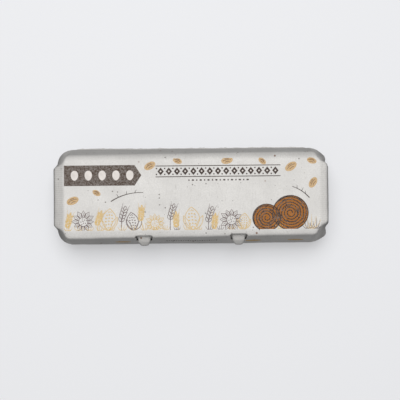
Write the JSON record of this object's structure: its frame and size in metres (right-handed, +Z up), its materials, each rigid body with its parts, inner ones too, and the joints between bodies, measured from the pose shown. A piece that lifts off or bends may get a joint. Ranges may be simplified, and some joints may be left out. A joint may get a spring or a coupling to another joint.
{
  "type": "pulp egg carton",
  "caption": "Moulded-pulp egg carton: a tray of cells under a hinged, flat-topped lid that snaps over the buttons of a locking flap.",
  "frame": {"origin": "on the table under the middle of the tray; the buttons reach two millimetres past the front rim", "axes": "+X along the carton, +Y from the buttons towards the hinge, +Z up out of the lid's panel"},
  "size_m": [0.2978, 0.1049, 0.07],
  "materials": {
    "tray_pulp": "matte, fibrous grey pulp",
    "lid_pulp": "matte, fibrous grey pulp with a flat printed panel"
  },
  "bodies": {
    "tray": {"tray": "tray_pulp"},
    "lid": {"lid": "lid_pulp"}
  },
  "joints": [
    {"name": "lid_hinge", "type": "hinge", "parent": "tray", "child": "lid", "pos_m": [0, 0.0515, 0.038], "axis": [-1, 0, 0], "range_deg": [0, 180]}
  ]
}
